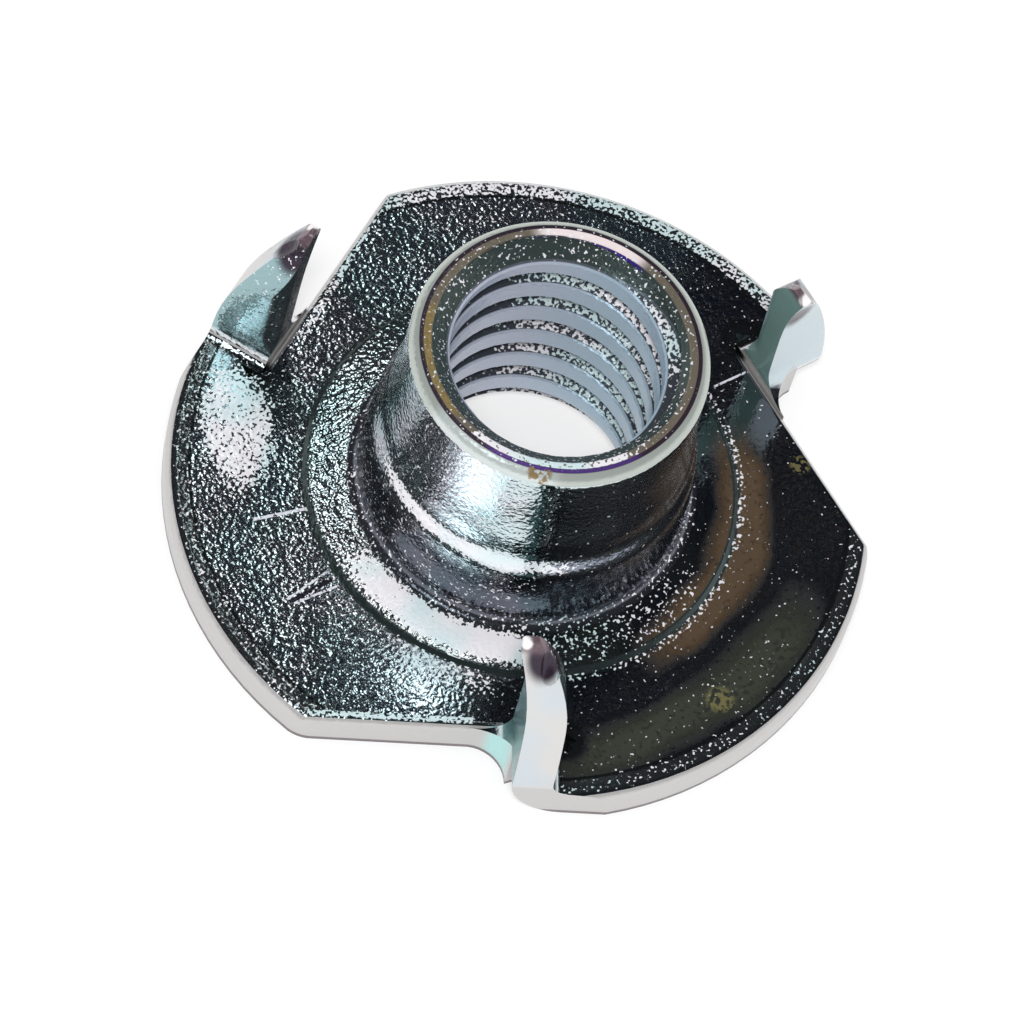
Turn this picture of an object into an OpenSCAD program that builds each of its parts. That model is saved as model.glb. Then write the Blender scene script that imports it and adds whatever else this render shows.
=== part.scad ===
// Tee nut with three prongs, pressed from one piece of sheet steel.
// It lies on the back of its flange. Z runs up the barrel, and the origin is
// on the thread's axis in the plane of the flange's back.

/* [Flange] */
// Diameter of the round flange
flange_d = 22.2; // [20.5:0.1:25]
// Thickness of the sheet
sheet = 1.25; // [0.9:0.05:1.5]
// Radius rolled onto the flange's upper rim by the blanking punch
rim_roll = 0.4; // [0.1:0.05:0.6]
// Diameter of the coined pad round the barrel
pad_d = 13.7; // [12.6:0.1:15]
// Step from the flange up to the rim of the pad
pad_step = 0.12; // [0.05:0.01:0.3]
// Slope of the pad towards the barrel, in degrees
pad_slope = 8; // [2:1:12]

/* [Barrel] */
// Overall height, from the flange's back to the mouth
height = 9.525; // [8.6:0.025:14]
// Outer diameter of the barrel
barrel_d = 9.24; // [8.9:0.02:9.6]
// Outer diameter of the hub below the shoulder
hub_d = 10.1; // [9.7:0.05:10.6]
// Height at which the shoulder starts to narrow
shoulder_z = 4.3; // [3.5:0.1:5.2]
// Radius of both curves of the shoulder
shoulder_r = 1; // [0.5:0.1:1.5]
// Radius of the fillet between the hub and the pad
hub_fillet = 1.1; // [0.5:0.05:1.4]
// Radius round the outside of the mouth
mouth_round = 0.42; // [0.15:0.01:0.45]

/* [Bore] */
// Diameter of the bore, at the crests of the thread
bore_d = 6.6; // [6.2:0.05:7]
// Diameter of the chamfer at the mouth
mouth_chamfer_d = 7.94; // [7.4:0.02:8.1]
// Slope of that chamfer from the axis, in degrees
chamfer_angle = 45; // [30:1:60]
// Radius where the sheet was drawn into the barrel, at the back
draw_r = 1.5; // [0.8:0.05:1.8]

/* [Thread] */
// Pitch of the thread
pitch = 1.411; // [1.25:0.01:1.6]
// Depth of the thread below its crests
thread_depth = 0.66; // [0.4:0.01:0.7]
// Angle between the flanks of the thread, in degrees
flank_angle = 60; // [50:1:64]

/* [Prongs] */
// Number of prongs
prong_count = 3; // [3:1:4]
// Distance from the axis to the straight edge of each cut-out
cut_offset = 8.72; // [7.8:0.02:9]
// Radius of the corners where a cut meets the round rim, seen from above
corner_r = 1.2; // [0.5:0.1:2]
// Radius rolled onto the upper edge of each cut
cut_edge_r = 0.3; // [0.1:0.05:0.5]
// Height of a prong's tip above the flange's back
prong_h = 7.3; // [5.5:0.05:9]
// Lean of a prong towards the barrel, in degrees
prong_lean = 1.2; // [0:0.2:3]
// Distance of a prong's smooth face from the middle of its cut-out
prong_shift = 0.5; // [0:0.05:1]
// Inner radius of the bend at the foot of a prong
bend_r = 0.5; // [0.3:0.05:0.8]
// Width trimmed off the round edge of the tab before it is bent up
tab_trim = 0.3; // [0.1:0.05:0.5]
// Radius of the point, seen along the flange
tip_r = 0.12; // [0.08:0.01:0.35]
// Radius along the inner edge of a prong's upper face
edge_r = 0.65; // [0.2:0.05:0.75]
// Radius of the web between the cut and the bend, seen from above
web_r = 1.2; // [0.6:0.05:1.4]
// Height over which that web rises from the flange to the prong
web_rise = 1; // [0.6:0.05:1.4]
// Radius of the point, seen across the sheet
end_r = 0.33; // [0.25:0.01:0.45]
// Radius of the curl on the smooth face
curl_r = 8; // [6:0.5:12]
// Radius to which the upper face is thinned
thin_r = 4.4; // [3.5:0.1:6]
// Depth of the scoop in the outer edge below the point
scoop_depth = 0.2; // [0.05:0.05:0.3]
// Distance from the tip down to the middle of the scoop
scoop_drop = 0.7; // [0.6:0.05:1.2]

/* [Hidden] */
$fn = 64;
over = 1; // length by which a cutter passes the face it cuts
run_out_r = 1; // radius on which a rounded edge runs out
scoop_wheel_r = 1.6; // radius of the wheel that would cut the scoop
scoop_rim_r = 0.35; // radius round the rim of that wheel
bite = 0.004; // depth by which a rounding circle passes the faces it joins

flange_r = flange_d / 2;
pad_r = pad_d / 2;
hub_r = hub_d / 2;
barrel_r = barrel_d / 2;
bore_r = bore_d / 2;
mouth_chamfer_r = mouth_chamfer_d / 2;

// The pad: a shallow cone that starts on the rim of its step
pad_rim_z = sheet + pad_step;
function pad_z(r) = pad_rim_z + (pad_r - pad_step - r) * tan(pad_slope);

// The fillet between hub and pad touches the hub's wall and the pad's cone
fillet_x = hub_r + hub_fillet;
fillet_z = pad_z(fillet_x) + hub_fillet / cos(pad_slope);

// The shoulder: two arcs of one radius that meet at shoulder_turn degrees
shoulder_turn = acos(1 - (hub_r - barrel_r) / (2 * shoulder_r));
shoulder_meet_r = (hub_r + barrel_r) / 2;
shoulder_meet_z = shoulder_z + shoulder_r * sin(shoulder_turn);
shoulder_top_z = shoulder_z + 2 * shoulder_r * sin(shoulder_turn);

chamfer_h = (mouth_chamfer_r - bore_r) / tan(chamfer_angle);

// The thread is shown as ring grooves of its pitch and section, from the chamfer
// down to the drawn radius, with a flat root an eighth of the pitch wide
groove_top = height - chamfer_h;
groove_count = floor((groove_top - draw_r) / pitch);
root_w = pitch / 8;
groove_w = root_w + 2 * thread_depth * tan(flank_angle / 2);

// A prong stands on the bend, which starts at the hinge
bend_z = sheet + bend_r;
hinge_y = bend_z - prong_shift;
tab_r = flange_r - tab_trim;

// The round edge of the tab keeps its curve when it stands up. The point is the
// corner between that curve and the straight edge, rounded by a small circle.
tip_x = cut_offset + tip_r - bite;
tip_drop = sqrt(pow(tab_r - tip_r + bite, 2) - tip_x * tip_x);
tip_z = prong_h - tip_r;
tab_z = tip_z - tip_drop;

// The circle that rounds the corner between a cut and the rim, seen from above
corner_x = cut_offset - corner_r + bite;
corner_drop = sqrt(pow(flange_r - corner_r + bite, 2) - corner_x * corner_x);
corner_reach = (flange_r + over) / (flange_r - corner_r);

// Where the leaning tab's round edge meets the top of the bend
lean_x = cut_offset - cut_offset * cos(prong_lean) - (tab_z - bend_z) * sin(prong_lean);
lean_drop = cut_offset * sin(prong_lean) - (tab_z - bend_z) * cos(prong_lean);
tab_foot_x = lean_x + sqrt(tab_r * tab_r - lean_drop * lean_drop);

// Seen across the sheet, the curl and the thinning start at curl_z, and a circle
// between them rounds the end. Both sit on axes level with curl_z.
curl_y = -prong_shift - curl_r;
thin_y = sheet - prong_shift - thin_r;
to_curl = curl_r + end_r - bite;
to_thin = thin_r - end_r + bite;
end_y = (curl_y + thin_y + (to_curl * to_curl - to_thin * to_thin) / (thin_y - curl_y)) / 2;
end_rise = sqrt(to_curl * to_curl - pow(end_y - curl_y, 2));
end_z = prong_h - end_r;
curl_z = end_z - end_rise;

module ring_at(r, z) translate([r, z]) circle(r = rim_roll);

// Section of the flange, with its rolled upper rim
module flange_section() {
    square([flange_r, sheet - rim_roll]);
    square([flange_r - rim_roll, sheet]);
    ring_at(flange_r - rim_roll, sheet - rim_roll);
}

// Section of the coined pad and the fillet that runs up to the hub
module pad_section() {
    polygon([
        [0, 0], [pad_r, 0], [pad_r, sheet], [pad_r - pad_step, pad_rim_z],
        [hub_r, pad_z(hub_r)], [0, pad_z(hub_r)]
    ]);
    difference() {
        polygon([
            [0, pad_rim_z], [fillet_x, pad_rim_z],
            [fillet_x - hub_fillet * sin(pad_slope), fillet_z - hub_fillet * cos(pad_slope)],
            [fillet_x, fillet_z], [0, fillet_z]
        ]);
        translate([fillet_x, fillet_z]) circle(r = hub_fillet);
    }
}

// Section of the hub, the shoulder and the barrel with its rounded mouth
module barrel_section() {
    square([hub_r, shoulder_z]);
    intersection() {
        translate([hub_r - shoulder_r, shoulder_z]) circle(r = shoulder_r);
        square([hub_r, shoulder_meet_z]);
    }
    square([hub_r - shoulder_r, shoulder_meet_z]);
    difference() {
        square([shoulder_meet_r, shoulder_top_z]);
        translate([barrel_r + shoulder_r, shoulder_top_z]) circle(r = shoulder_r);
        translate([hub_r - shoulder_r, shoulder_z])
            square([hub_r, shoulder_meet_z - shoulder_z]);
    }
    square([barrel_r, height - mouth_round]);
    square([barrel_r - mouth_round, height]);
    translate([barrel_r - mouth_round, height - mouth_round]) circle(r = mouth_round);
}

// Section of the hole: the bore, its chamfer, the drawn radius at the back and the
// grooves of the thread
module bore_section() {
    translate([0, -over]) square([bore_r, height + 2 * over]);
    polygon([
        [0, height - chamfer_h], [bore_r, height - chamfer_h],
        [mouth_chamfer_r, height], [mouth_chamfer_r, height + over], [0, height + over]
    ]);
    difference() {
        translate([0, -over]) square([bore_r + draw_r, draw_r + over]);
        translate([bore_r + draw_r, draw_r]) circle(r = draw_r);
    }
    for (i = [1 : groove_count]) translate([bore_r, groove_top - pitch * (i - 1 / 2)]) polygon([
        [-over, -groove_w / 2], [0, -groove_w / 2], [thread_depth, -root_w / 2],
        [thread_depth, root_w / 2], [0, groove_w / 2], [-over, groove_w / 2]
    ]);
}

module pressing() {
    rotate_extrude() difference() {
        union() {
            flange_section();
            pad_section();
            barrel_section();
        }
        bore_section();
    }
}

// The tab's place in the flange, open after it is bent up, with the roll along
// its edge. Past the hinge the rim is trimmed to the tab's outer edge.
module cut_out() {
    translate([0, 0, -over]) linear_extrude(sheet + 2 * over) polygon([
        [cut_offset, -flange_r], [cut_offset, hinge_y], [tab_foot_x, hinge_y],
        [tab_foot_x, flange_r / 2], [flange_r + over, flange_r / 2], [flange_r + over, -flange_r]
    ]);
    translate([cut_offset, hinge_y - run_out(cut_edge_r), sheet])
        rotate([90, 90, 0]) rounding(cut_edge_r, flange_r);
    translate([0, 0, -over]) linear_extrude(sheet + 2 * over) corner();
}

// What rounds the corner between the cut and the rim, seen from above
module corner() {
    difference() {
        polygon([
            [corner_x, -corner_drop], [flange_r + over, -corner_drop],
            [flange_r + over, -flange_r], corner_reach * [corner_x, -corner_drop]
        ]);
        translate([corner_x, -corner_drop]) circle(r = corner_r);
    }
}

// Outline of a prong seen along the flange: a straight edge towards the barrel,
// the round sheared edge outside and a small round point
module prong_outline() {
    intersection() {
        translate([0, tab_z]) circle(r = tab_r);
        translate([cut_offset, -over]) square([tab_r, height]);
        union() {
            polygon([
                [0, -over], [2 * tip_x, -over], [2 * tip_x, tip_z + tip_drop],
                [tip_x, tip_z], [0, tip_z]
            ]);
            translate([tip_x, tip_z]) circle(r = tip_r);
        }
    }
}

// Section across a prong: the sheet's full thickness at the foot, then thinned
// on its upper face and curled over on its smooth face
module prong_section() {
    translate([-prong_shift, bend_z]) square([sheet, curl_z - bend_z]);
    intersection() {
        difference() {
            translate([thin_y, curl_z]) circle(r = thin_r);
            translate([curl_y, curl_z]) circle(r = curl_r);
        }
        union() {
            polygon([
                [curl_y, curl_z], [height, curl_z],
                [2 * end_y - thin_y, end_z + end_rise], [end_y, end_z],
                [(curl_y + end_y) / 2, end_z - end_rise / 2]
            ]);
            translate([end_y, end_z]) circle(r = end_r);
        }
    }
}

// What rounds an edge to r. The edge runs up the Z axis from the origin, between
// walls that face -X and +Y, and below the origin the rounding runs out.
module rounding(r, length) {
    module section() {
        difference() {
            translate([-over / 2, -r]) square(r + over / 2);
            translate([r - bite, bite - r]) circle(r = r);
        }
    }
    linear_extrude(length) section();
    translate(run_out_r / sqrt(2) * [-1, 1, 0]) rotate([-90, 0, -45])
        rotate_extrude(angle = 45) translate([run_out_r, 0]) rotate(45) section();
}

// Length over which such a rounding runs out
function run_out(r) = sqrt(2 * run_out_r * r * (sqrt(2) - 1));

// The corner between the cut's wall and the smooth face, filled to a radius, and
// the gusset behind it that stands under the bend
module web_plan() {
    translate([cut_offset, -prong_shift]) difference() {
        polygon([
            [-bite, -web_r], [web_r, -web_r], [web_r, 0],
            [web_r / 2, hinge_y + prong_shift], [-bite, hinge_y + prong_shift]
        ]);
        translate([web_r, -web_r]) circle(r = web_r + bite);
    }
}

module leaning() {
    translate([cut_offset, 0, bend_z]) rotate([0, -prong_lean, 0])
        translate([-cut_offset, 0, -bend_z]) children();
}

module prong_blade() {
    difference() {
        intersection() {
            leaning() rotate([90, 0, 0]) linear_extrude(4 * sheet, center = true) prong_outline();
            rotate([90, 0, 90]) linear_extrude(flange_r) prong_section();
        }
        leaning() {
            translate([cut_offset, sheet - prong_shift, bend_z + run_out(edge_r)])
                rounding(edge_r, height);
            scoop();
        }
    }
}

// The short groove below the point, as cut by the rounded rim of a small wheel
module scoop() {
    rise = prong_h - scoop_drop - tab_z;
    reach = (tab_r + scoop_wheel_r - scoop_depth) / tab_r;
    translate([reach * sqrt(tab_r * tab_r - rise * rise), end_y + sheet / 2, tab_z + reach * rise])
        rotate([90, 0, 0]) rotate_extrude()
            translate([scoop_wheel_r - scoop_rim_r, 0]) circle(r = scoop_rim_r);
}

// A quarter turn about the hinge, from the flange's plane to upright
module bent() {
    translate([0, hinge_y, bend_z]) rotate([0, 90, 0]) rotate([0, 0, -90])
        rotate_extrude(angle = 90) translate([bend_r + sheet, 0]) rotate(90) children();
}

// The sheet that carries a prong up from the hinge
module prong_bend() {
    bent() translate([cut_offset, 0]) square([tab_foot_x - cut_offset, sheet]);
}

// The web beside the bend, which rises from the flange to the prong. Its gusset
// stays within the thickness of the bend.
module prong_web() {
    intersection() {
        linear_extrude(sheet + web_rise) web_plan();
        rotate([90, 0, 90]) linear_extrude(flange_r) difference() {
            polygon([
                [-flange_r, 0], [hinge_y, 0], [hinge_y, sheet / 2],
                [-prong_shift, sheet + web_rise], [-flange_r, sheet + web_rise]
            ]);
            translate([-prong_shift - web_rise, sheet + web_rise]) circle(r = web_rise);
            translate([-flange_r - prong_shift - web_rise, sheet]) square([flange_r, flange_r]);
        }
    }
}

module tee_nut() color("silver") {
    difference() {
        pressing();
        for (i = [0 : prong_count - 1]) rotate(360 / prong_count * i) cut_out();
    }
    for (i = [0 : prong_count - 1]) rotate(360 / prong_count * i) {
        prong_bend();
        prong_blade();
        prong_web();
    }
}

tee_nut();
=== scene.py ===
"""Looks of a pressed and zinc plated tee nut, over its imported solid.

The nut lies on the back of its flange. Z runs up the barrel, and lengths are in metres
unless a comment says mm.
"""

import math

import bmesh
import bpy
from mathutils import Matrix, Vector


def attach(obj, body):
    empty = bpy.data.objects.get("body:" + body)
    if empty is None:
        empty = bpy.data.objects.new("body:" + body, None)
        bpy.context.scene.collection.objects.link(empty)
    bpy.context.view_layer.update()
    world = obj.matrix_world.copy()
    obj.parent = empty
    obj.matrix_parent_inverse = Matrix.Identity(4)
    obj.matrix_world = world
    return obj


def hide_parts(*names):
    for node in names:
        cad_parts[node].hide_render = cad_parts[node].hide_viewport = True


MM = 0.001

# The nut, with the sizes of its solid
HEIGHT = 9.525 * MM
MOUTH_INNER = 3.97 * MM
DRAW_RADIUS = 1.5 * MM
BACK_INNER = 4.8 * MM
PAD_RIM = (6.73 * MM, 1.37 * MM)
PAD_SLOPE = math.radians(8)
THREAD = {"Pitch": 1.411 * MM, "Crest Radius": 3.3 * MM, "Root Radius": 3.97 * MM}
PRONG_TURN = math.radians(-2)

# The barrel's outside, where it differs from the solid
PAD_CUT = 6.0 * MM
PAD_RINGS = (PAD_CUT, 5.8 * MM, 5.6 * MM)
HUB_RADIUS = 5.17 * MM
HUB_FILLET = 0.35 * MM
BARREL_RADIUS = 4.6 * MM
# Its section, as height and radius in mm, with a crease above the hub
WALL = ((3.1, 5.14), (3.8, 5.1), (4.25, 5.06), (4.45, 5.02), (4.95, 4.87), (5.15, 4.835),
        (5.75, 4.785), (6.4, 4.71), (7.0, 4.66), (8.25, 4.615))
MOUTH_ROUND = 0.42 * MM
MOUTH_LIP = 4.08 * MM

# The thread
THREAD_LOW = 0.25 * MM
# Where a root ends and a crest begins, from 0 at a root's middle to 1 at a crest's
THREAD_FLANK = (0.1, 0.5)
# The bore is made a hair shorter and narrower than its place, and then joined on
HAIR = 0.02 * MM

# No face within this radius was sheared
SKIN_WITHIN = 8.3 * MM
# The prongs. Faces above PRONG_FOOT and outside PRONG_INNER belong to one
PRONG_EDGE = 0.16 * MM
PRONG_FOOT = 1.45 * MM
PRONG_INNER = 8.2 * MM
# Above this a prong has left its bend
PRONG_BLADE = 2.6 * MM
# Edges are rounded above and outside these
ROUNDED_ABOVE = 1.3 * MM
ROUNDED_OUTSIDE = 8.4 * MM

# How finely the new forms are made
TURN_STEPS = 180
THREAD_ROWS = 300
FILLET_STEPS = 8
WALL_STEPS = 5
MOUTH_STEPS = 12
EDGE_STEPS = 3
SAME_PLACE = 1e-7
TINY = 1e-6
SHARP = math.radians(24)
# Faces whose normal has more than this share of Z lie flat
LEVEL = 0.8

# The camera, with angles in degrees, lengths in metres and its lens in mm
CAMERA = {"azimuth": -45.52, "elevation": 59.923, "roll": 16.871, "distance": 0.2054054,
          "lens": 231.0987, "aim_right": 0.00010185, "aim_up": 0.00036069}
# A hair of air under the nut, so that its back and the floor share no plane
FLOOR_GAP = 0.01 * MM

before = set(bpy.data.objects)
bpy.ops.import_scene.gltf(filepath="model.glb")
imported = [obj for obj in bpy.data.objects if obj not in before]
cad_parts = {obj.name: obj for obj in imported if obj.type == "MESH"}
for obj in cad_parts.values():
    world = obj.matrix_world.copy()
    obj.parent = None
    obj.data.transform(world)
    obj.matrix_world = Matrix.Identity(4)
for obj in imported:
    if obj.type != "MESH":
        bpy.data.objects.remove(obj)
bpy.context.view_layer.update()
scene = bpy.context.scene


# ---- camera ----

def place_camera(azimuth, elevation, roll, distance, lens, aim_right, aim_up):
    """Looks at the nut from azimuth and elevation in degrees, turned by roll. The thread's
    foot stands aim_right and aim_up off the middle of the picture."""
    a, e, c = (math.radians(v) for v in (azimuth, elevation, roll))
    back = Vector((math.sin(a) * math.cos(e), -math.cos(a) * math.cos(e), math.sin(e)))
    level = (-back).cross(Vector((0, 0, 1))).normalized()
    upright = level.cross(-back)
    right = math.cos(c) * level + math.sin(c) * upright
    up = math.cos(c) * upright - math.sin(c) * level
    data = bpy.data.cameras.new("camera")
    data.sensor_width = 36
    data.lens = lens
    data.clip_start, data.clip_end = 0.01, 10
    cam = bpy.data.objects.new("camera", data)
    turn = Matrix((right, up, back)).transposed().to_4x4()
    cam.matrix_world = Matrix.Translation(
        distance * back - aim_right * right - aim_up * up) @ turn
    scene.collection.objects.link(cam)
    scene.camera = cam


place_camera(**CAMERA)


# ---- helpers for node trees ----

class Tree:
    """A node tree under construction. A value may be a number, a tuple or a socket."""

    def __init__(self, tree):
        self.tree = tree

    def add(self, kind, *values, out=0, named=(), **settings):
        n = self.tree.nodes.new(kind)
        for key, value in settings.items():
            setattr(n, key, value)
        for i, value in enumerate(values):
            self.put(n.inputs[i], value)
        for key, value in dict(named).items():
            self.put(n.inputs[key], value)
        return n if out is None else n.outputs[out]

    def put(self, socket, value):
        if value is None:
            return
        if isinstance(value, bpy.types.NodeSocket):
            self.tree.links.new(value, socket)
        else:
            socket.default_value = value

    def math(self, operation, *values, clamp=False):
        return self.add("ShaderNodeMath", *values, operation=operation, use_clamp=clamp)

    def ramp(self, value, low, high, to_low=0.0, to_high=1.0):
        """Runs smoothly from to_low at low to to_high at high."""
        return self.add("ShaderNodeMapRange", value, low, high, to_low, to_high,
                        interpolation_type="SMOOTHSTEP")

    def mix(self, factor, a, b):
        n = self.tree.nodes.new("ShaderNodeMix")
        n.data_type = "RGBA"
        for i, value in ((0, factor), (6, a), (7, b)):
            self.put(n.inputs[i], value)
        return n.outputs[2]

    def fall(self, value, low, high):
        """Runs smoothly from 1 at low to 0 at high."""
        return self.ramp(value, low, high, 1.0, 0.0)

    def band(self, value, low, high, soft):
        """1 between low and high, with soft ends."""
        return self.both(self.ramp(value, low - soft, low + soft),
                         self.fall(value, high - soft, high + soft))

    def both(self, *values):
        """The product of the values: where all of them are."""
        found = values[0]
        for value in values[1:]:
            found = self.math("MULTIPLY", found, value)
        return found

    def either(self, *values):
        """The largest of the values: where any of them is."""
        found = values[0]
        for value in values[1:]:
            found = self.math("MAXIMUM", found, value)
        return found

    def length(self, u, v):
        return self.math("SQRT", self.math("ADD", self.math("MULTIPLY", u, u),
                                           self.math("MULTIPLY", v, v)))

    def turned(self, u, v, degrees):
        """The two coordinates along axes that are turned by an angle."""
        c, s = math.cos(math.radians(degrees)), math.sin(math.radians(degrees))
        along = self.math("ADD", self.math("MULTIPLY", u, c), self.math("MULTIPLY", v, s))
        aside = self.math("SUBTRACT", self.math("MULTIPLY", v, c), self.math("MULTIPLY", u, s))
        return along, aside

    def from_oval(self, u, v, middle, half, degrees):
        """How far a point is from the middle of a turned oval, where 1 is on the oval. Half
        holds half its length and half its width."""
        along, aside = self.turned(self.math("SUBTRACT", u, middle[0]),
                                   self.math("SUBTRACT", v, middle[1]), degrees)
        return self.length(self.math("DIVIDE", along, half[0]),
                           self.math("DIVIDE", aside, half[1]))


def new_material(name, kind=Tree):
    """A material without nodes, and its tree."""
    material = bpy.data.materials.new(name)
    material.use_nodes = True
    material.node_tree.nodes.clear()
    return material, kind(material.node_tree)


# ---- the thread ----

def thread_tree():
    """Rows and columns of points on a threaded bore, from its drawn foot to its chamfered
    mouth. The thread runs out where the foot or the chamfer is wider than it is deep."""
    tree = bpy.data.node_groups.new("threaded_bore", "GeometryNodeTree")
    sizes = ("Pitch", "Crest Radius", "Root Radius", "Low End", "High End",
             "Draw Radius", "Mouth Radius")
    for name in sizes:
        tree.interface.new_socket(name, in_out="INPUT", socket_type="NodeSocketFloat")
    for name in ("Rows", "Columns"):
        tree.interface.new_socket(name, in_out="INPUT", socket_type="NodeSocketInt")
    tree.interface.new_socket("Finish", in_out="INPUT", socket_type="NodeSocketMaterial")
    tree.interface.new_socket("Mesh", in_out="OUTPUT", socket_type="NodeSocketGeometry")
    t = Tree(tree)
    given = t.add("NodeGroupInput", out=None).outputs
    rows, columns = given["Rows"], given["Columns"]
    grid = t.add("GeometryNodeMeshGrid", 1.0, 1.0, rows, columns, out=None)
    place = t.add("GeometryNodeInputIndex")
    row = t.math("FLOOR", t.math("DIVIDE", place, columns))
    column = t.math("SUBTRACT", place, t.math("MULTIPLY", row, columns))
    turn = t.math("DIVIDE", column, t.math("SUBTRACT", columns, 1.0))
    rise = t.math("DIVIDE", row, t.math("SUBTRACT", rows, 1.0))
    z = t.math("ADD", given["Low End"],
               t.math("MULTIPLY", rise, t.math("SUBTRACT", given["High End"], given["Low End"])))
    # How far along one turn of the thread this height and side is: 0 on a crest
    along = t.math("FRACT", t.math("SUBTRACT", t.math("DIVIDE", z, given["Pitch"]), turn))
    from_root = t.math("ABSOLUTE", t.math("SUBTRACT", t.math("MULTIPLY", along, 2.0), 1.0))
    crest = t.add("ShaderNodeMapRange", from_root, *THREAD_FLANK)
    depth = t.math("SUBTRACT", given["Root Radius"], given["Crest Radius"])
    thread = t.math("SUBTRACT", given["Root Radius"], t.math("MULTIPLY", depth, crest))
    # The drawn foot is a quarter circle round the back's edge
    below = t.math("MAXIMUM", t.math("SUBTRACT", given["Draw Radius"], z), 0.0)
    draw = given["Draw Radius"]
    reach = t.math("SQRT", t.math("SUBTRACT", t.math("MULTIPLY", draw, draw),
                                  t.math("MULTIPLY", below, below)))
    foot = t.math("SUBTRACT", t.math("ADD", given["Crest Radius"], draw), reach)
    mouth = t.math("SUBTRACT", given["Mouth Radius"],
                   t.math("SUBTRACT", given["High End"], z))
    radius = t.math("MAXIMUM", t.math("MAXIMUM", thread, foot), mouth)
    angle = t.math("MULTIPLY", turn, math.tau)
    point = t.add("ShaderNodeCombineXYZ", t.math("MULTIPLY", radius, t.math("COSINE", angle)),
                  t.math("MULTIPLY", radius, t.math("SINE", angle)), z)
    bent = t.add("GeometryNodeSetPosition", grid.outputs[0], None, point)
    closed = t.add("GeometryNodeMergeByDistance", bent, named={"Distance": SAME_PLACE})
    real = t.add("GeometryNodeRealizeInstances", closed)
    done = t.add("GeometryNodeSetMaterial", real, None, given["Finish"])
    t.add("NodeGroupOutput", done, out=None)
    return tree


def made_by(tree, values):
    """The mesh that a Geometry Nodes tree makes from the values named."""
    holder = bpy.data.objects.new("holder", bpy.data.meshes.new("holder"))
    scene.collection.objects.link(holder)
    modifier = holder.modifiers.new("make", "NODES")
    modifier.node_group = tree
    for item in tree.interface.items_tree:
        if item.in_out == "INPUT" and item.name in values:
            modifier[item.identifier] = values[item.name]
    bpy.context.view_layer.update()
    seen = holder.evaluated_get(bpy.context.evaluated_depsgraph_get())
    mesh = bpy.data.meshes.new_from_object(seen)
    bpy.data.objects.remove(holder)
    return mesh


# ---- the nut ----

def profile():
    """The outside of the barrel in section, from the pad up to the inner edge of the mouth:
    a small fillet, a hub that narrows slowly, the barrel and its rounded mouth."""
    def pad(r):
        return PAD_RIM[1] + (PAD_RIM[0] - r) * math.tan(PAD_SLOPE)

    points = [(r, pad(r)) for r in PAD_RINGS]
    foot = HUB_RADIUS + HUB_FILLET
    low = pad(foot) + HUB_FILLET
    for step in range(FILLET_STEPS + 1):
        turn = PAD_SLOPE + (math.pi / 2 - PAD_SLOPE) * step / FILLET_STEPS
        points.append((foot - HUB_FILLET * math.sin(turn), low - HUB_FILLET * math.cos(turn)))
    top = HEIGHT - MOUTH_ROUND
    marks = [(low, HUB_RADIUS)] + [(z * MM, r * MM) for z, r in WALL] + [(top, BARREL_RADIUS)]
    leans = [(b[1] - a[1]) / (b[0] - a[0]) for a, b in zip(marks, marks[1:])]
    bends = [0] + [(a + b) / 2 for a, b in zip(leans, leans[1:])] + [0]
    for i in range(len(marks) - 1):
        (z0, r0), (z1, r1) = marks[i], marks[i + 1]
        span = z1 - z0
        for step in range(1, WALL_STEPS + 1):
            x = step / WALL_STEPS
            points.append((
                r0 * (1 + 2 * x) * (1 - x) ** 2 + r1 * x * x * (3 - 2 * x)
                + span * (bends[i] * x * (1 - x) ** 2 + bends[i + 1] * x * x * (x - 1)),
                z0 + span * x))
    for step in range(1, MOUTH_STEPS + 1):
        turn = math.pi / 2 * step / MOUTH_STEPS
        points.append((BARREL_RADIUS - MOUTH_ROUND * (1 - math.cos(turn)),
                       top + MOUTH_ROUND * math.sin(turn)))
    return points + [(MOUTH_LIP, HEIGHT), (MOUTH_INNER, HEIGHT)]


def spin_round(bm, points):
    """Turns a section round the Z axis and leaves its first and last rings open."""
    corners = [bm.verts.new((r, 0, z)) for r, z in points]
    edges = [bm.edges.new(pair) for pair in zip(corners, corners[1:])]
    bmesh.ops.spin(bm, geom=corners + edges, axis=(0, 0, 1), cent=(0, 0, 0),
                   steps=TURN_STEPS, angle=math.tau, use_merge=True)


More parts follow.
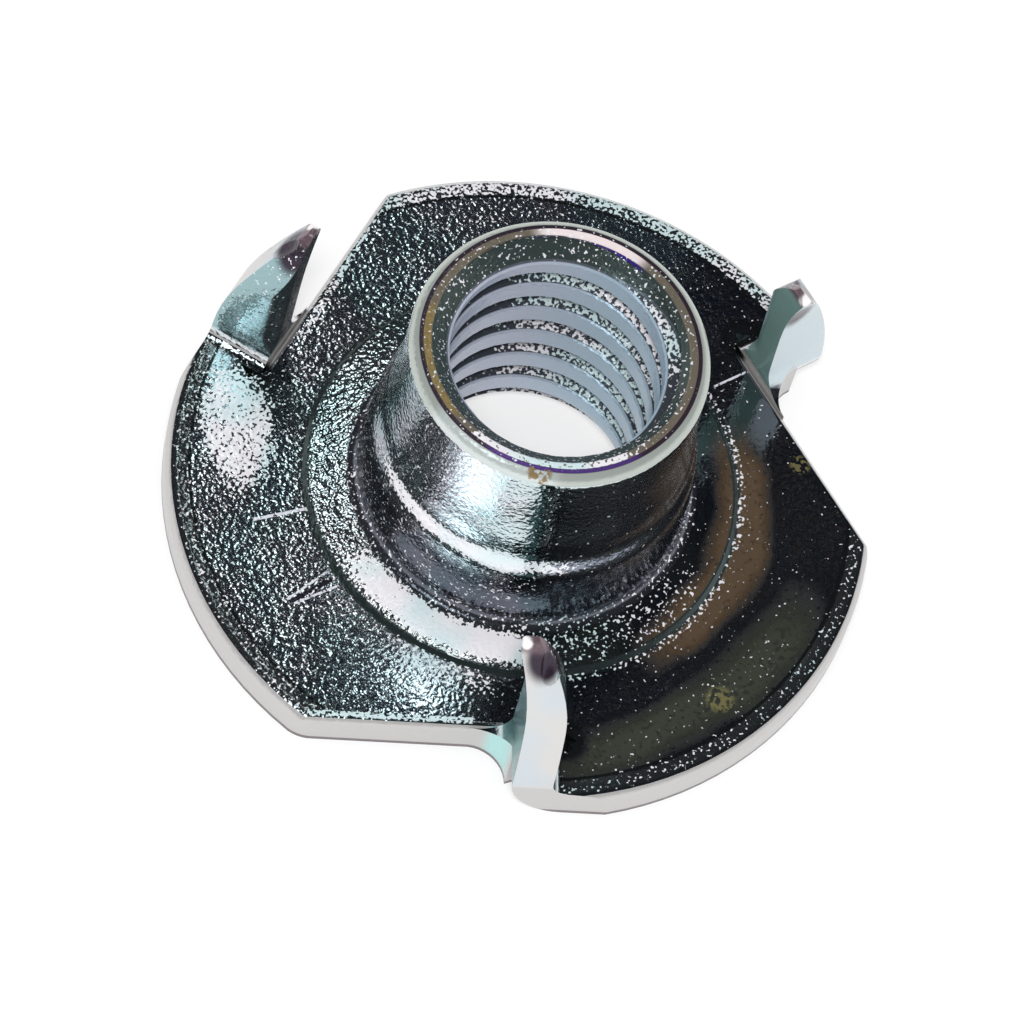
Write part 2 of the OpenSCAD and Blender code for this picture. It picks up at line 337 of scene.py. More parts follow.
def bare_flange():
    """The solid's mesh with its points joined, without its barrel and its bore."""
    def middle(face):
        return face.calc_center_median()

    def faces_axis(face):
        return face.normal.xy.dot(middle(face).xy) < -TINY

    bm = bmesh.new()
    bm.from_mesh(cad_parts["tee_nut"].data)
    bmesh.ops.remove_doubles(bm, verts=bm.verts, dist=SAME_PLACE)
    # The pad is cut round just outside the barrel's fillet
    near = [f for f in bm.faces if middle(f).z > PAD_RIM[1]
            and middle(f).xy.length < PAD_RIM[0] + 0.1 * MM]
    pad = {f for f in near if middle(f).xy.length > PAD_CUT - TINY and f.normal.z > 0.98}
    bmesh.ops.delete(bm, geom=[f for f in near if f not in pad], context="FACES")
    inside = [f for f in bm.faces
              if middle(f).xy.length < BACK_INNER - 0.01 * MM and faces_axis(f)]
    # The lists keep the mesh's own order, so that each run gives the same points and faces
    chosen = set(inside)
    edges = [e for e in bm.edges if chosen.intersection(e.link_faces)]
    corners = [v for v in bm.verts if chosen.intersection(v.link_faces)]
    bmesh.ops.bisect_plane(bm, geom=inside + edges + corners, dist=SAME_PLACE,
                           plane_co=(0, 0, THREAD_LOW), plane_no=(0, 0, 1))
    bore = [f for f in bm.faces if middle(f).xy.length < BACK_INNER
            and middle(f).z > THREAD_LOW and faces_axis(f)]
    bmesh.ops.delete(bm, geom=bore, context="FACES")
    bmesh.ops.delete(bm, geom=[v for v in bm.verts if not v.link_faces], context="VERTS")
    soften_prongs(bm)
    return bm


def soften_prongs(bm):
    """Tumbling has rounded every edge of the prongs that stand above the flange."""
    def on_prong(place):
        return place.z > ROUNDED_ABOVE and place.xy.length > ROUNDED_OUTSIDE

    corners = [v for v in bm.verts if on_prong(v.co)]
    edges = [e for e in bm.edges if e.is_manifold
             and all(on_prong(v.co) for f in e.link_faces for v in f.verts)]
    bmesh.ops.dissolve_limit(bm, angle_limit=math.radians(0.5), verts=corners, edges=edges)
    sharp = [e for e in bm.edges if e.is_manifold and e.calc_face_angle() > SHARP
             and on_prong(e.verts[0].co) and on_prong(e.verts[1].co)]
    bmesh.ops.bevel(bm, geom=sharp, offset=PRONG_EDGE, segments=EDGE_STEPS, profile=0.5,
                    affect="EDGES", clamp_overlap=True, miter_outer="ARC")
    bmesh.ops.triangulate(bm, faces=[f for f in bm.faces if len(f.verts) > 4])


def mark_skin(bm):
    """Marks the faces by what the press left: 1 on the sheet's upper skin, 0.6 on the lower
    skin of a prong and 0 where the sheet was sheared."""
    skin = bm.faces.layers.float.new("skin")
    prongs = [[], [], []]
    for face in bm.faces:
        middle = face.calc_center_median()
        face[skin] = 1.0 if middle.xy.length < SKIN_WITHIN or abs(face.normal.z) > LEVEL else 0.0
        if middle.z > PRONG_FOOT and middle.xy.length > PRONG_INNER:
            turn = math.atan2(middle.y, middle.x) - PRONG_TURN
            prongs[round(turn / (math.tau / 3)) % 3].append(face)
    for prong in prongs:
        # The skins face two opposite ways, so doubled angles give the one line they share
        upright = [f for f in prong if abs(f.normal.z) < 0.5]
        doubled = [(2 * math.atan2(f.normal.y, f.normal.x), f.calc_area()) for f in upright]
        turn = 0.5 * math.atan2(sum(a * math.sin(d) for d, a in doubled),
                                sum(a * math.cos(d) for d, a in doubled))
        across = Vector((math.cos(turn), math.sin(turn), 0))
        middle = upright[0].calc_center_median()
        if across.dot(Vector((-middle.y, middle.x, 0))) < 0:
            across = -across
        hinge = Vector((-across.y, across.x, 0))
        for face in prong:
            turned_up = face.normal.dot(across)
            if face.calc_center_median().z > PRONG_BLADE:
                is_skin = abs(turned_up) > 0.75
            else:
                is_skin = abs(face.normal.dot(hinge)) < 0.5
                turned_up += face.normal.z
            face[skin] = 0.0 if not is_skin else 1.0 if turned_up > 0 else 0.6


def rim_of(bm, low, high, inner, outer):
    """The open edges between two heights and two radii."""
    found = []
    for edge in bm.edges:
        if edge.is_boundary:
            middle = (edge.verts[0].co + edge.verts[1].co) / 2
            if low < middle.z < high and inner < middle.xy.length < outer:
                found.append(edge)
    return found


def join_rings(bm, first, second):
    """Fills the gap between two open rings of edges round the Z axis with triangles."""
    def by_angle(ring):
        corners = {v for e in ring for v in e.verts}
        return sorted(corners, key=lambda v: math.atan2(v.co.y, v.co.x))

    def angle(ring, i):
        v = ring[i % len(ring)].co
        return math.atan2(v.y, v.x) + math.tau * (i // len(ring))

    a, b = by_angle(first), by_angle(second)
    i = j = 0
    while i < len(a) or j < len(b):
        if j == len(b) or (i < len(a) and angle(a, i + 1) < angle(b, j + 1)):
            bm.faces.new((a[i % len(a)], a[(i + 1) % len(a)], b[j % len(b)]))
            i += 1
        else:
            bm.faces.new((a[i % len(a)], b[(j + 1) % len(b)], b[j % len(b)]))
            j += 1


def dress_nut(finish):
    """The whole nut: the solid's flange and prongs, with a threaded bore and a new barrel."""
    bm = bare_flange()
    bore = made_by(thread_tree(), THREAD | {
        "Low End": THREAD_LOW + HAIR, "High End": HEIGHT - HAIR,
        "Draw Radius": DRAW_RADIUS, "Mouth Radius": MOUTH_INNER - HAIR,
        "Rows": THREAD_ROWS, "Columns": TURN_STEPS + 1, "Finish": finish})
    back = rim_of(bm, low=0, high=1 * MM, inner=0, outer=5 * MM)
    pad = rim_of(bm, low=1 * MM, high=2 * MM, inner=5 * MM, outer=7 * MM)
    bm.from_mesh(bore)
    used = set(back + pad)
    bore_rims = [e for e in bm.edges if e.is_boundary and e not in used]
    foot = [e for e in bore_rims if e.verts[0].co.z < HEIGHT / 2]
    throat = [e for e in bore_rims if e.verts[0].co.z > HEIGHT / 2]
    join_rings(bm, back, foot)
    spin_round(bm, profile())
    bm.edges.ensure_lookup_table()
    used = set(pad + throat)
    wall_rims = [e for e in bm.edges if e.is_boundary and e not in used]
    skirt = [e for e in wall_rims if e.verts[0].co.z < HEIGHT / 2]
    lip = [e for e in wall_rims if e.verts[0].co.z > HEIGHT / 2]
    join_rings(bm, pad, skirt)
    join_rings(bm, throat, lip)
    bmesh.ops.recalc_face_normals(bm, faces=bm.faces)
    mark_skin(bm)
    for face in bm.faces:
        face.smooth = True
        face.material_index = 0
    for edge in bm.edges:
        edge.smooth = edge.is_manifold and edge.calc_face_angle() < SHARP
    mesh = bpy.data.meshes.new("pressed_nut")
    bm.to_mesh(mesh)
    bm.free()
    mesh.materials.append(finish)
    nut = bpy.data.objects.new("pressed_nut", mesh)
    scene.collection.objects.link(nut)
    weigh = nut.modifiers.new("even_normals", "WEIGHTED_NORMAL")
    weigh.keep_sharp = True
    # The large faces settle the shading, not the slivers beside them
    weigh.weight = 100
    return nut


# ---- the finish ----

class Finish(Tree):
    """The tree of the nut's finish. Lengths are in mm, and angles in degrees. A zone is a
    value that is 1 where it lies, 0 elsewhere and in between along its soft edge."""

    def __init__(self, tree):
        super().__init__(tree)
        place = self.add("ShaderNodeTexCoord", out=None).outputs
        self.spot = self.add("ShaderNodeVectorMath", place["Object"], None, None, 1 / MM,
                             operation="SCALE")
        self.x, self.y, self.z = self.add("ShaderNodeSeparateXYZ", self.spot, out=None).outputs
        self.out = self.length(self.x, self.y)
        facing = self.add("ShaderNodeSeparateXYZ", place["Normal"], out=None).outputs
        self.level = facing[2]
        self.outward = self.math("DIVIDE", self.math(
            "ADD", self.math("MULTIPLY", facing[0], self.x),
            self.math("MULTIPLY", facing[1], self.y)), self.out)
        self.broad, self.peel, self.grit = (
            self.add("ShaderNodeTexNoise", self.spot, named={
                "Scale": scale, "Detail": 1.0, "Roughness": roughness})
            for scale, roughness in ((0.35, 0.5), (6.2, 0.6), (9.0, 0.5)))
        self.zones_of_flange()
        self.zones_of_barrel()
        self.zones_of_mouth()
        self.zones_of_bore()
        self.zones_of_prongs()

    # Shapes of zones

    def stroke(self, x0, y0, x1, y1, wide):
        """A straight scratch on the flange between two points."""
        long = math.hypot(x1 - x0, y1 - y0)
        heading = math.degrees(math.atan2(y1 - y0, x1 - x0))
        along, aside = self.turned(self.math("SUBTRACT", self.x, x0),
                                   self.math("SUBTRACT", self.y, y0), heading)
        return self.both(self.fall(self.math("ABSOLUTE", aside), wide * 0.6, wide),
                         self.band(along, 0.1, long - 0.1, 0.1), self.flat)

    def blot(self, x0, y0, wide):
        """A round stain, seen from above."""
        far = self.length(self.math("SUBTRACT", self.x, x0), self.math("SUBTRACT", self.y, y0))
        return self.fall(far, wide * 0.4, wide)

    def oval(self, x0, y0, wide, deep, degrees):
        """A soft oval patch on the flange."""
        far = self.from_oval(self.x, self.y, (x0, y0), (wide, deep), degrees)
        return self.both(self.fall(far, 0.5, 1.3), self.flat)

    def towards(self, azimuth):
        """The cosine of the angle between a point's side of the axis and an azimuth."""
        a = math.radians(azimuth)
        return self.math("DIVIDE", self.math(
            "ADD", self.math("MULTIPLY", self.x, math.cos(a)),
            self.math("MULTIPLY", self.y, math.sin(a))), self.out)

    def arc(self, azimuth, half, soft=8):
        """Runs round the axis to both sides of an azimuth."""
        return self.ramp(self.towards(azimuth), math.cos(math.radians(half + soft)),
                         math.cos(math.radians(half - soft)))

    def on_each_prong(self, far_out, ahead, high, wide, flatten):
        """A soft ball on each prong: its distance from the axis, its angle ahead of the
        prong's, its height, its radius, and how much its height is pressed."""
        found = []
        for i in range(3):
            a = PRONG_TURN + math.radians(ahead) + math.tau * i / 3
            away = self.add("ShaderNodeVectorMath", self.spot, (
                far_out * math.cos(a), far_out * math.sin(a), high), operation="SUBTRACT")
            squat = self.add("ShaderNodeVectorMath", away, (1, 1, flatten), operation="MULTIPLY")
            far = self.add("ShaderNodeVectorMath", squat, operation="LENGTH", out=1)
            found.append(self.fall(far, wide * 0.4, wide))
        return self.either(*found)

    # The zones of the nut

    def zones_of_flange(self):
        out, z = self.out, self.z
        self.flat = self.both(self.ramp(self.level, 0.8, 0.97), self.fall(z, 1.9, 2.1))
        # The press marked one side of the flange more than the other, and the other half carries
        # painted shade
        self.side = self.math("ADD", self.math("MULTIPLY", self.x, -0.6),
                              self.math("MULTIPLY", self.y, 0.8))
        self.line = self.both(self.band(out, 10.31, 10.4, 0.03), self.flat)
        self.edge_band = self.both(self.ramp(out, 10.38, 10.46), self.flat)
        self.pad_rim = self.both(self.band(out, 6.66, 6.92, 0.04), self.band(z, 1.1, 1.6, 0.05))
        self.chain = self.both(self.band(out, 6.75, 7.08, 0.05),
                               self.fall(self.side, -5.0, -1.0), self.flat)

    def zones_of_barrel(self):
        self.foot = self.both(self.band(self.out, 5.1, 5.5, 0.08), self.band(self.z, 1.2, 2.0, 0.1))
        self.barrel = self.both(self.ramp(self.z, 1.9, 2.2), self.math("GREATER_THAN", self.out, 4.2),
                                self.fall(self.out, 5.6, 5.8))

    def zones_of_mouth(self):
        """Rings by how deep below the mouth they lie, from the outside inwards."""
        out = self.out
        self.depth = self.math("SUBTRACT", HEIGHT / MM, self.z)
        self.lip = self.both(self.fall(self.depth, 0.31, 0.37), self.band(out, 4.26, 4.8, 0.02))
        self.groove = self.both(self.fall(self.depth, 0.1, 0.2), self.band(out, 4.15, 4.3, 0.03))
        self.ring = self.both(self.fall(self.depth, 0.03, 0.1), self.band(out, 3.93, 4.17, 0.02))
        self.within = self.math("LESS_THAN", out, 3.955)
        self.chamfer = self.both(self.within, self.fall(self.depth, 0.52, 0.62))

    def zones_of_bore(self):
        self.bore = self.both(self.within, self.ramp(self.depth, 0.52, 0.62),
                              self.ramp(self.z, 0.3, 0.5))
        self.crest = self.both(self.bore, self.fall(self.out, 3.34, 3.42))
        self.root = self.both(self.bore, self.ramp(self.out, 3.72, 3.82))
        self.flank = self.both(self.bore, self.math(
            "SUBTRACT", 1.0, self.either(self.crest, self.root)))

    def zones_of_prongs(self):
        """The prongs, their two skins, their sides that face the barrel, and what was sheared."""
        skin = self.add("ShaderNodeAttribute", out=2, attribute_name="skin")
        outer = self.ramp(self.out, 8.2, 8.4)
        self.prong = self.both(outer, self.ramp(self.z, 1.4, 1.8))
        self.sheared = self.both(outer, self.math("LESS_THAN", skin, 0.3))
        self.front_skin = self.both(self.prong, self.math("GREATER_THAN", skin, 0.8))
        self.back_skin = self.both(self.prong, self.band(skin, 0.5, 0.7, 0.05))
        # These sides face the barrel and carry painted shade
        self.shaded_inner_side = self.both(self.prong, self.fall(self.outward, -0.5, -0.2))


# The finishes of each part. A row holds its name, its zone, its colour, how matte it is and
# how rough. A later row covers the earlier ones.

def flange_finishes(t):
    marks = t.either(t.stroke(-8.3, 2.55, -6.42, 2.1, 0.07),
                     t.stroke(-8.8, -0.38, -6.95, -0.06, 0.05),
                     t.stroke(-8.66, -0.57, -6.93, -0.65, 0.05),
                     t.stroke(8.75, 0.21, 7.17, 0.21, 0.05))
    # Painted reflections: a brown band and a green band that the flat flange shows mirrored
    wavy = t.math("ADD", t.out, t.math("MULTIPLY", t.broad, 1.6))
    brown = t.both(t.band(wavy, 7.1, 8.85, 0.55), t.arc(-50, 34, 14), t.flat,
                   t.ramp(t.peel, 0.2, 0.5, 0.6, 0.95))
    wavy = t.math("ADD", t.out, t.math("MULTIPLY", t.broad, 1.2))
    green = t.both(t.band(wavy, 9.3, 10.95, 0.6), t.arc(-84, 30, 14), t.flat,
                   t.ramp(t.peel, 0.2, 0.5, 0.5, 0.9))
    spots = t.both(t.either(t.blot(1.61, -9.33, 0.6), t.blot(8.26, -3.41, 0.5)), t.flat,
                   t.ramp(t.peel, 0.42, 0.55), 0.8)
    return [
        # Painted shade: the flat flange is darker metal on the half away from the marked side
        ("shaded_half", t.both(t.flat, t.fall(t.side, -4.0, 0.0)), (0.30, 0.31, 0.34, 1), 0.0, 0.09),
        ("brown_reflection", brown, (0.125, 0.085, 0.052, 1), 0.7, 0.2),
        ("green_reflection", green, (0.062, 0.07, 0.052, 1), 0.65, 0.2),
        ("dark_line", t.both(t.line, 0.9), (0.03, 0.035, 0.035, 1), 0.2, 0.15),
        ("pad_rim", t.both(t.pad_rim, 0.8), (0.06, 0.08, 0.08, 1), 0.3, 0.15),
        ("edge_band", t.both(t.edge_band, 0.6), (0.2, 0.22, 0.22, 1), 0.1, 0.15),
        ("dark_mark", t.stroke(-8.7, -0.48, -6.95, -0.35, 0.09), (0.03, 0.03, 0.04, 1), 0.3, 0.2),
        ("bright_marks", t.both(marks, t.ramp(t.grit, 0.3, 0.5)), (0.8, 0.8, 0.88, 1), 0.8, 0.2),
        ("ochre_spots", spots, (0.2, 0.18, 0.08, 1), 0.7, 0.2)]


def barrel_finishes(t):
    # Painted shade: the barrel is darker metal below its shoulder, most towards the bottom
    low = t.ramp(t.z, 3.0, 4.7, 0.95, 0)
    # Painted shade: the barrel's far side, towards azimuth -65, is darker and bluer metal
    shaded_far_side = t.both(t.barrel, t.ramp(t.towards(-65), 0.3, 0.95), t.ramp(t.depth, 0.4, 0.5))
    # Painted reflection: a rosy patch on the barrel's side towards azimuth -38
    rosy = t.both(t.barrel, t.arc(-38, 20, 20), t.ramp(t.z, 4.5, 7.0), t.fall(t.z, 6.5, 9.2))
    return [
        # Painted shade: the fillet at the hub's foot is darkened
        ("foot", t.both(t.foot, 0.6), (0.12, 0.13, 0.16, 1), 0.2, 0.25),
        ("hub", t.both(t.barrel, low), (0.13, 0.145, 0.18, 1), 0.04, 0.12),
        ("shaded_far_side", shaded_far_side, (0.26, 0.29, 0.35, 1), 0.03, 0.12),
        ("rosy_reflection", t.both(rosy, 0.45), (0.26, 0.20, 0.25, 1), 0.2, 0.15)]


def prong_finishes(t):
    """The prongs, and every other face that was sheared."""
    cut = t.both(t.sheared, t.prong)
    web = t.both(t.sheared, t.blot(-4.78, -7.53, 1.1), t.fall(t.z, 1.5, 2.6))
    tip = t.both(t.prong, t.on_each_prong(8.9, 0.4, 6.2, 0.85, 0.5), t.fall(t.shaded_inner_side, 0, 1))
    # Beside each bend a small open corner of the cut is painted dark, as painted shade
    shaded_notch = t.both(t.on_each_prong(9.12, 10.1, 1.2, 0.9, 1.0), t.fall(t.z, 1.28, 1.32))
    return [
        ("front_skin", t.front_skin, (0.32, 0.47, 0.49, 1), 0.12, 0.16),
        ("back_skin", t.back_skin, (0.60, 0.70, 0.74, 1), 0.6, 0.25),
        # Painted shade: the lower skin of the prong towards azimuth -120 is darker
        ("shaded_near_back_skin", t.both(t.back_skin, t.arc(-120, 20)), (0.14, 0.26, 0.26, 1), 0.6, 0.25),
        ("sheared", t.sheared, (0.56, 0.55, 0.54, 1), 0.6, 0.3),
        ("prong_cut", cut, (0.66, 0.65, 0.63, 1), 0.6, 0.3),
        ("blue_cut", t.both(cut, t.ramp(t.broad, 0.3, 0.7)), (0.60, 0.65, 0.69, 1), 0.6, 0.3),
        # Painted shade: the prongs' sides that face the barrel are nearly black
        ("shaded_inner_side", t.shaded_inner_side, (0.045, 0.06, 0.065, 1), 0.45, 0.25),
        # Painted light: on the prong at azimuth -2, the side facing the barrel is lit teal
        ("teal_lit_side", t.both(t.shaded_inner_side, t.arc(-2, 30)), (0.24, 0.40, 0.37, 1), 0.8, 0.25),
        ("cyan_web", t.both(web, 0.7), (0.44, 0.74, 0.72, 1), 0.7, 0.25),
        # Painted shadow: a dark line along the foot of the sheared faces, where they meet the floor
        ("contact_shade", t.both(t.sheared, t.fall(t.z, 0.1, 0.2)), (0.2, 0.17, 0.18, 1), 0.5, 0.3),
        ("dark_tip", t.both(tip, 0.95), (0.04, 0.028, 0.045, 1), 0.5, 0.2),
        ("tip_end", t.both(t.ramp(t.z, 6.7, 7.2), t.prong, 0.7), (0.20, 0.14, 0.16, 1), 0.5, 0.2),
        # Painted shade in the open corner of the cut
        ("shaded_notch", shaded_notch, (0.05, 0.055, 0.06, 1), 0.1, 0.15),
        # Painted highlight: a white point on the tip of each prong
        ("point", t.on_each_prong(8.82, -3.4, 7.1, 0.27, 0.9), (0.95, 0.92, 0.92, 1), 0.9, 0.2)]


def mouth_finishes(t):
    inner_ring = t.both(t.within, t.fall(t.depth, 0.12, 0.2), t.arc(45, 22))
    spot = t.both(t.blot(-2.77, -3.36, 0.5), t.lip, t.ramp(t.peel, 0.42, 0.56), 0.8)
    return [
        ("chamfer", t.chamfer, (0.06, 0.085, 0.08, 1), 0.5, 0.25),
        ("lip", t.lip, (0.48, 0.52, 0.48, 1), 0.55, 0.25),
        # Painted highlight: the lip's arc towards azimuth -150 is paler
        ("highlit_lip", t.both(t.lip, t.arc(-150, 25)), (0.62, 0.68, 0.66, 1), 0.6, 0.25),
        # Painted shade: a dark line round the mouth's top
        ("groove", t.both(t.groove, 0.95), (0.045, 0.03, 0.045, 1), 0.6, 0.2),
        ("violet_groove", t.both(t.groove, t.arc(-120, 30)), (0.10, 0.05, 0.24, 1), 0.6, 0.2),
        ("blue_ring", inner_ring, (0.06, 0.03, 0.28, 1), 0.6, 0.2),
        ("ring", t.ring, (0.20, 0.17, 0.13, 1), 0.6, 0.25),
        ("ochre_ring", t.both(t.ring, t.arc(160, 25)), (0.30, 0.22, 0.09, 1), 0.6, 0.25),
        # Painted highlight: the ring's arc towards azimuth 45 is pinkish white
        ("highlit_ring", t.both(t.ring, t.arc(45, 22)), (0.85, 0.74, 0.74, 1), 0.9, 0.25),
        ("brown_spot", spot, (0.30, 0.21, 0.11, 1), 0.7, 0.3)]


def bore_finishes(t):
    # The blue is the zinc's own. How pale the thread is, paler and more lavender towards azimuth 120,
    # is painted light, and the dark flanks and darker roots are painted shade
    lit_blue_grey = t.mix(t.ramp(t.towards(120), -0.2, 0.9), (0.48, 0.63, 0.75, 1), (0.60, 0.64, 0.77, 1))
    return [
        ("crests", t.bore, lit_blue_grey, 0.6, 0.25),
        ("flanks", t.flank, (0.07, 0.08, 0.10, 1), 0.5, 0.3),
        ("shaded_roots", t.root, (0.012, 0.016, 0.06, 1), 0.5, 0.3)]


def glints_and_flecks(t):
    """Bright specks, of wear and of painted glints: thick where the plating was rubbed and where the
    light glinted, and thin elsewhere.
    """
    thick = t.either(
        t.both(t.ramp(t.side, -8.0, 6.0, 0.08, 0.3), t.flat),
        # Painted highlight: a bright patch on the flat flange
        t.both(t.oval(-7.0, 5.6, 2.5, 1.3, 65), 1.25),
        t.both(t.oval(-5.5, -4.5, 2.1, 0.7, -53), 0.75),
        # Painted highlight: a bright crescent on the pad, towards azimuth -146
        t.both(t.band(t.out, 5.55, 6.5, 0.3), t.arc(-146, 30, 14), t.flat, 1.9),
        t.both(t.band(t.out, 5.45, 6.62, 0.15), t.arc(-90, 30, 14), t.flat, 0.5),
        # Painted highlight: a glinting arc along the rim, towards azimuth 45
        t.both(t.edge_band, t.arc(45, 48), 0.95),
        t.both(t.edge_band, 0.42),
        t.both(t.chain, 0.62),
        t.both(t.stroke(1.46, 10.84, -3.72, 7.4, 0.16), 0.9),
        t.both(t.stroke(-10.14, -3.93, -5.49, -6.6, 0.14), 1.1),
        t.both(t.foot, 0.45),
        # Painted highlight: a bright crescent on the barrel's shoulder
        t.both(t.barrel, t.band(t.z, 4.45, 5.0, 0.2), t.arc(-152, 36, 20), 1.5),
        t.both(t.barrel, t.ramp(t.towards(-60), 0.42, 0.6, 0.32, 0.05)),
        t.both(t.ring, 0.3),
        # Painted highlight: the ring's arc towards azimuth -125
        t.both(t.ring, t.arc(-125, 35), 1.4),
        t.both(t.chamfer, 0.35),
        # Painted glints: the thread's flanks glint more towards azimuth 20
        t.both(t.flank, t.ramp(t.towards(20), 0.3, 0.8, 0.12, 0.95)),
        t.both(t.front_skin, 0.22))
    least = t.math("SUBTRACT", 0.71, t.math("MULTIPLY", thick, 0.3))
    bare_barrel = t.both(t.barrel, t.fall(t.lip, 0, 1))
    where = t.both(t.ramp(t.math("SUBTRACT", t.grit, least), 0.0, 0.11), t.either(
        t.flat, bare_barrel, t.ring, t.chamfer, t.flank, t.foot, t.front_skin), 0.92)
    colour = t.mix(t.ramp(t.broad, 0.42, 0.58), (0.68, 0.84, 0.86, 1), (0.92, 0.90, 0.94, 1))
    return [("glints_and_flecks", where, colour, 0.8, 0.2)]


def zinc():
    """Blue bright zinc over pressed steel, handled and a little stained, with painted highlights,
    reflections and shade.
    """
    material, t = new_material("blue_bright_zinc", Finish)
    tint = t.mix(t.ramp(t.broad, 0.35, 0.65), (0.66, 0.78, 0.80, 1), (0.78, 0.76, 0.80, 1))
    matte = 0.0
    rough = 0.09
    for name, where, colour, dull, grain in (
            flange_finishes(t) + barrel_finishes(t) + prong_finishes(t) + mouth_finishes(t)
            + bore_finishes(t) + glints_and_flecks(t)):
        # The colour comes in ahead of the dullness, so that no edge shows a pale rim
        tint = t.mix(t.ramp(where, 0.0, 0.7), tint, colour)
        tint.node.label = name
        matte = t.add("ShaderNodeMapRange", t.ramp(where, 0.2, 1.0), 0.0, 1.0, matte, dull)
        rough = t.add("ShaderNodeMapRange", where, 0.0, 1.0, rough, grain)
    # An orange peel that is deeper on the marked side, and slow waves
    peel = t.both(t.peel, t.ramp(t.side, -7.0, 6.0, 0.006, 0.024))
    height = t.math("ADD", peel, t.both(t.broad, 0.05))
    bump = t.add("ShaderNodeBump", named={"Strength": 1.0, "Distance": MM, "Height": height})
    shader = t.add("ShaderNodeBsdfPrincipled", named={
        "Base Color": tint, "Metallic": t.math("SUBTRACT", 1.0, matte, clamp=True),
        "Roughness": rough, "Normal": bump})
    t.add("ShaderNodeOutputMaterial", shader, out=None)
    return material


# ---- floor and light ----

def table_top():
    """A white card that is clear from below."""
    bm = bmesh.new()
    bmesh.ops.create_grid(bm, x_segments=1, y_segments=1, size=3,
                          matrix=Matrix.Translation((0, 0, -FLOOR_GAP)))
    mesh = bpy.data.meshes.new("floor")
    bm.to_mesh(mesh)
    bm.free()
    floor = bpy.data.objects.new("floor", mesh)
    scene.collection.objects.link(floor)
    material, t = new_material("white_card")
    card = t.add("ShaderNodeBsdfDiffuse", (0.97, 0.97, 0.97, 1))
    white = t.add("ShaderNodeEmission", (1, 1, 1, 1), 1.0)
    path = t.add("ShaderNodeLightPath", out=None).outputs
    seen = t.either(path["Is Camera Ray"], path["Is Glossy Ray"], path["Is Transmission Ray"])
    # Where it is seen, half of the card's light is its own, so that it shows white
    lifted = t.add("ShaderNodeMixShader", t.math("MULTIPLY", seen, 0.5), card, white)
    # From below the card is clear, and so it is across the gap, to let the nut's back be seen
    below = t.add("ShaderNodeNewGeometry", out=None).outputs["Backfacing"]
    touching = t.math("LESS_THAN", path["Ray Length"], 5 * FLOOR_GAP)
    sheet = t.add("ShaderNodeMixShader", t.either(below, touching), lifted,
                  t.add("ShaderNodeBsdfTransparent"))
    t.add("ShaderNodeOutputMaterial", sheet, out=None)
    mesh.materials.append(material)


def key_lamp(towards, distance, radius, watts):
    """A round lamp that lights the nut and casts its soft shadow, but isn't mirrored."""
    data = bpy.data.lights.new("key", "AREA")
    data.shape = "DISK"
    data.size = 2 * radius
    data.energy = watts
    lamp = bpy.data.objects.new("key", data)
    lamp.matrix_world = Matrix.Translation(towards * distance) @ (
        towards.to_track_quat("Z", "Y").to_matrix().to_4x4())
    lamp.visible_glossy = False
    lamp.visible_camera = False
    scene.collection.objects.link(lamp)


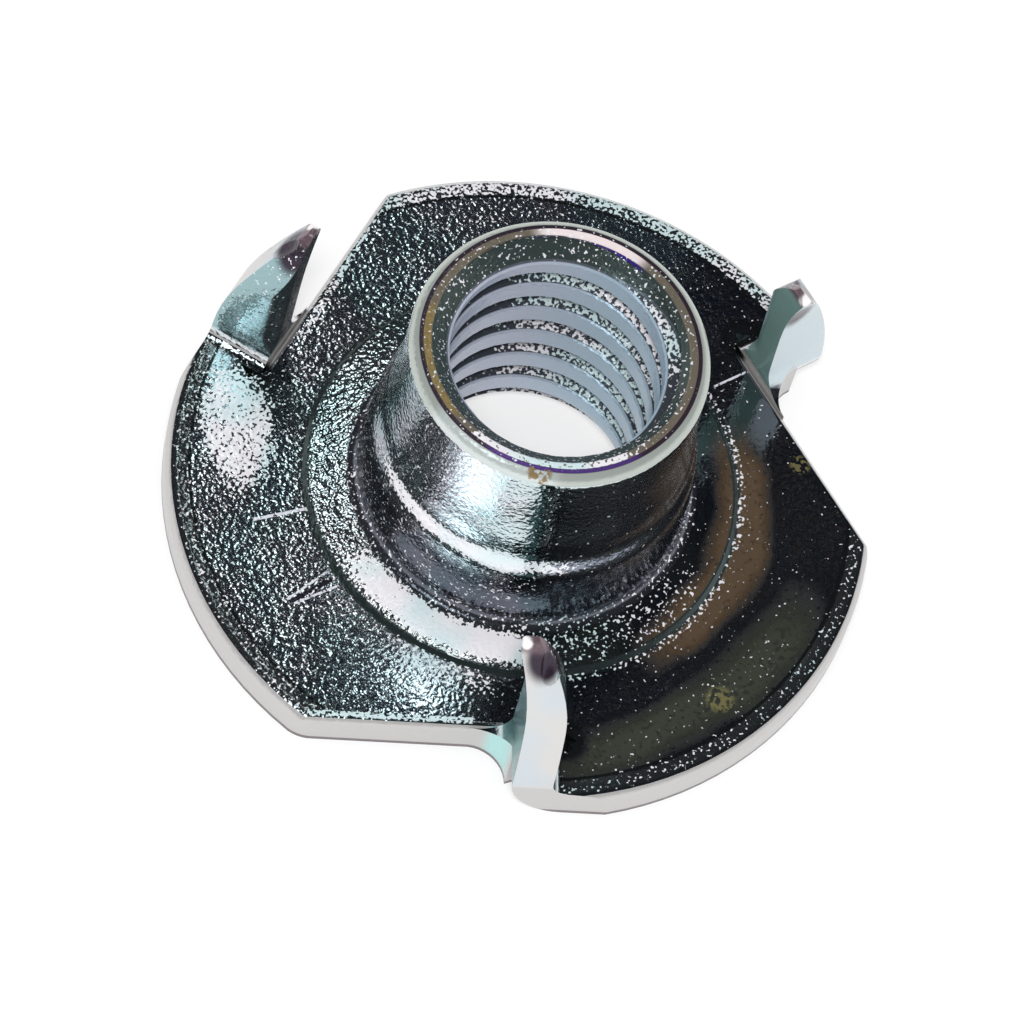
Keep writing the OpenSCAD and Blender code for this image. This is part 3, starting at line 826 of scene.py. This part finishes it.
def studio():
    """What the metal mirrors: a bright horizon, a broad soft light behind the camera and a
    dark ceiling with a few dull panels. All else gets even light from every side."""
    world = bpy.data.worlds.new("studio")
    scene.world = world
    world.cycles.sampling_method = "NONE"
    world.use_nodes = True
    world.node_tree.nodes.clear()
    t = Tree(world.node_tree)
    way = t.add("ShaderNodeTexCoord", out=None).outputs["Generated"]
    axes = t.add("ShaderNodeSeparateXYZ", way, out=None).outputs
    # Where on the flange the camera sees this way mirrored, in mm, and the camera's own place
    # from the flange's middle
    eye_x, eye_y, eye_z = -73.68, -72.36, 176.3
    least_up = 0.05
    up = t.math("MAXIMUM", axes[2], least_up)
    over_x = t.math("ADD", t.math("MULTIPLY", t.math("DIVIDE", axes[0], up), eye_z), eye_x)
    over_y = t.math("ADD", t.math("MULTIPLY", t.math("DIVIDE", axes[1], up), eye_z), eye_y)

    cloth = t.add("ShaderNodeTexNoise", way, named={"Scale": 9.0, "Detail": 2.0})
    dull = t.mix(t.ramp(cloth, 0.4, 0.65), (0.013, 0.015, 0.026, 1), (0.035, 0.042, 0.036, 1))
    glow = t.mix(t.ramp(axes[2], least_up, 0.4), (1, 1, 1, 1), dull)
    # Soft ovals overhead: where the mirror image of each lies on the flange, half its length
    # and width, its turn in degrees, its colour and how soft its edge is
    for middle, half, turn, colour, soft in (
            ((7.5, -5.8), (6.0, 1.6), 38, (0.16, 0.11, 0.08, 1), 0.5),
            ((2.5, -10), (5.0, 1.6), 15, (0.09, 0.13, 0.11, 1), 0.5),
            ((-47, -35), (19, 15), 45, (2.0, 2.05, 2.0, 1), 0.2),
            ((-34, 28), (20, 16), 60, (2.1, 2.5, 2.5, 1), 0.3),
            ((-6.7, 5.6), (2.6, 1.8), 60, (1.3, 1.5, 1.5, 1), 0.5)):
        far = t.from_oval(over_x, over_y, middle, half, turn)
        glow = t.mix(t.fall(far, 1 - soft, 1 + soft), glow, colour)

    # The broad round light in front ends at the straight edge of a screen
    azimuth, elevation = math.radians(-164), math.radians(60)
    inner, outer = math.radians(8), math.radians(14)
    aim = (math.cos(azimuth) * math.cos(elevation), math.sin(azimuth) * math.cos(elevation),
           math.sin(elevation))
    near = t.add("ShaderNodeVectorMath", way, aim, operation="DOT_PRODUCT", out=1)
    front = t.mix(t.ramp(near, math.cos(outer), math.cos(inner)), glow, (2.6, 2.85, 2.9, 1))
    along, _ = t.turned(axes[0], axes[1], CAMERA["azimuth"])
    glow = t.mix(t.ramp(along, -0.13, -0.07), front, glow)

    path = t.add("ShaderNodeLightPath", out=None).outputs
    seen = t.either(path["Is Camera Ray"], path["Is Transmission Ray"])
    even = t.mix(seen, (0.62, 0.62, 0.63, 1), (1, 1, 1, 1))
    # Two lights, so that no work goes into the panels where they don't show
    light = t.add("ShaderNodeMixShader", path["Is Glossy Ray"],
                  t.add("ShaderNodeBackground", even, 1.0), t.add("ShaderNodeBackground", glow, 1.0))
    t.add("ShaderNodeOutputWorld", light, out=None)


scene.view_settings.view_transform = "Standard"
# Light that has met the nut more often than this adds nothing that shows
scene.cycles.glossy_bounces = 2
scene.cycles.diffuse_bounces = 2
studio()
key_lamp(towards=Vector((-0.33, -0.31, 0.9)).normalized(), distance=0.6, radius=0.06, watts=2.2)
table_top()
nut = dress_nut(zinc())
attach(nut, "root")
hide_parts("tee_nut")
